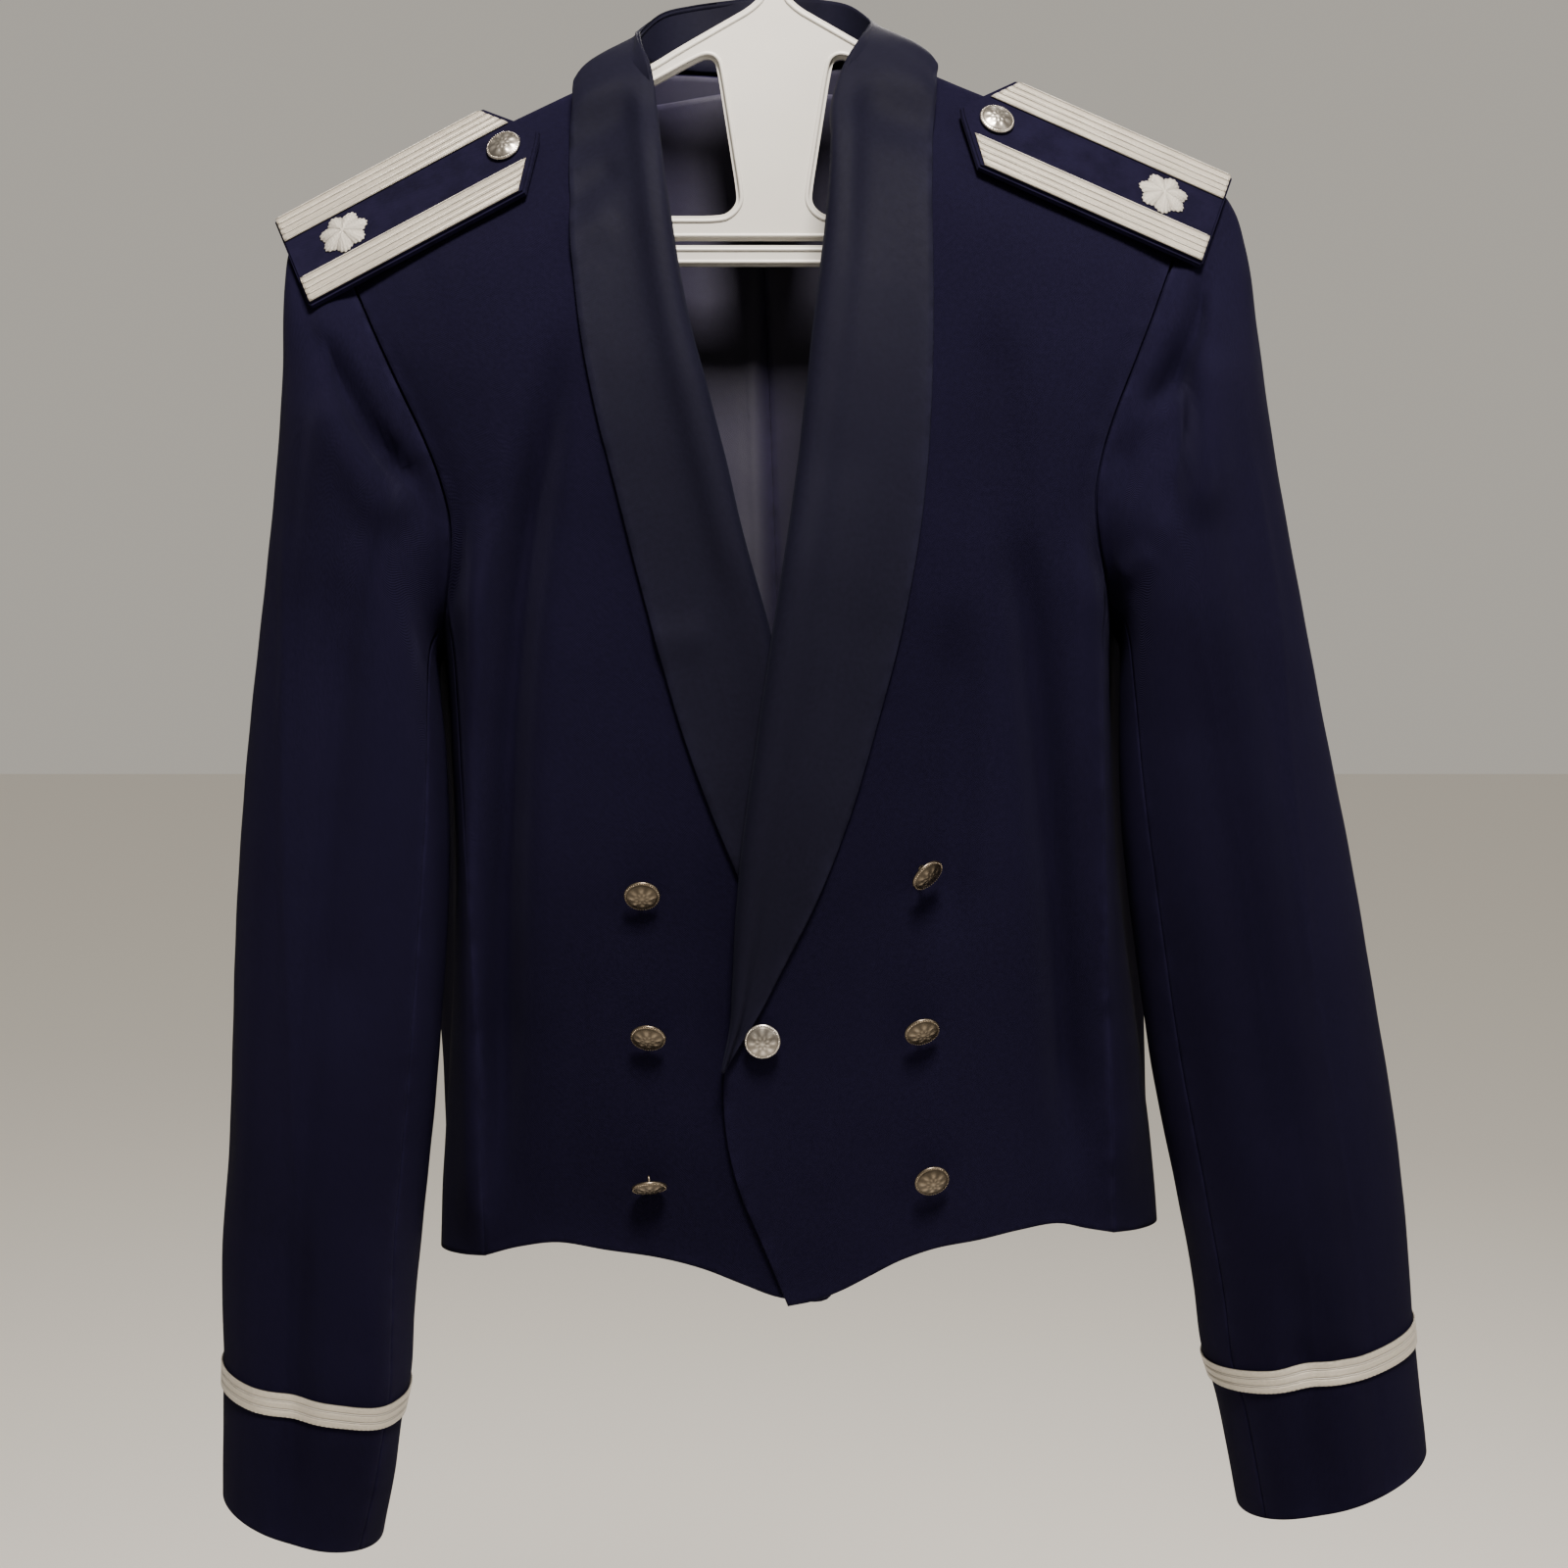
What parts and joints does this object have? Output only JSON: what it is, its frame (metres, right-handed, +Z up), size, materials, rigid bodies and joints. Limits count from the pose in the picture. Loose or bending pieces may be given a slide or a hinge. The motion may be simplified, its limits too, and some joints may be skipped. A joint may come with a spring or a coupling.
{
  "type": "dress uniform jacket on a hanger",
  "caption": "Waist-length dress uniform jacket with a satin shawl collar, cuff braid and shoulder boards, hung open-necked on a plastic hanger with a wire hook.",
  "frame": {"origin": "inside top of the hanger's hook, where it rests on a rail", "axes": "+Z up; the jacket's front faces -Y; +X is the wearer's left, on the right as it is seen from the front"},
  "size_m": [0.6396, 0.1703, 0.8801],
  "materials": {
    "navy_wool": "fine twill wool, matt",
    "navy_satin": "satin facing with a soft sheen",
    "violet_lining": "smooth lining with a low sheen",
    "silver_braid": "woven metallic thread, ribbed lengthwise",
    "silver_metal": "bright silver plate",
    "pewter_metal": "darkened silver plate",
    "white_plastic": "moulded, low gloss",
    "steel_wire": "bright wire"
  },
  "bodies": {
    "root": {"back_left": "navy_wool", "back_lining_left": "violet_lining", "back_lining_right": "violet_lining", "back_right": "navy_wool", "board_braid_back_left": "silver_braid", "board_braid_back_right": "silver_braid", "board_braid_front_left": "silver_braid", "board_braid_front_right": "silver_braid", "collar_left": "navy_satin", "collar_right": "navy_satin", "cuff_braid_left": "silver_braid", "cuff_braid_right": "silver_braid", "front_button_left_1": "pewter_metal", "front_button_left_2": "pewter_metal", "front_button_left_3": "pewter_metal", "front_button_right_1": "pewter_metal", "front_button_right_2": "pewter_metal", "front_button_right_3": "pewter_metal", "front_left": "navy_wool", "front_right": "navy_wool", "hanger_frame": "white_plastic", "hanger_hook": "steel_wire", "leaf_badge_left": "silver_metal", "leaf_badge_right": "silver_metal", "link_button": "silver_metal", "shoulder_board_left": "navy_wool", "shoulder_board_right": "navy_wool", "shoulder_button_left": "silver_metal", "shoulder_button_right": "silver_metal", "side_left": "navy_wool", "side_right": "navy_wool", "sleeve_top_left": "navy_wool", "sleeve_top_right": "navy_wool", "sleeve_under_left": "navy_wool", "sleeve_under_right": "navy_wool", "trouser_bar": "white_plastic"}
  },
  "joints": []
}
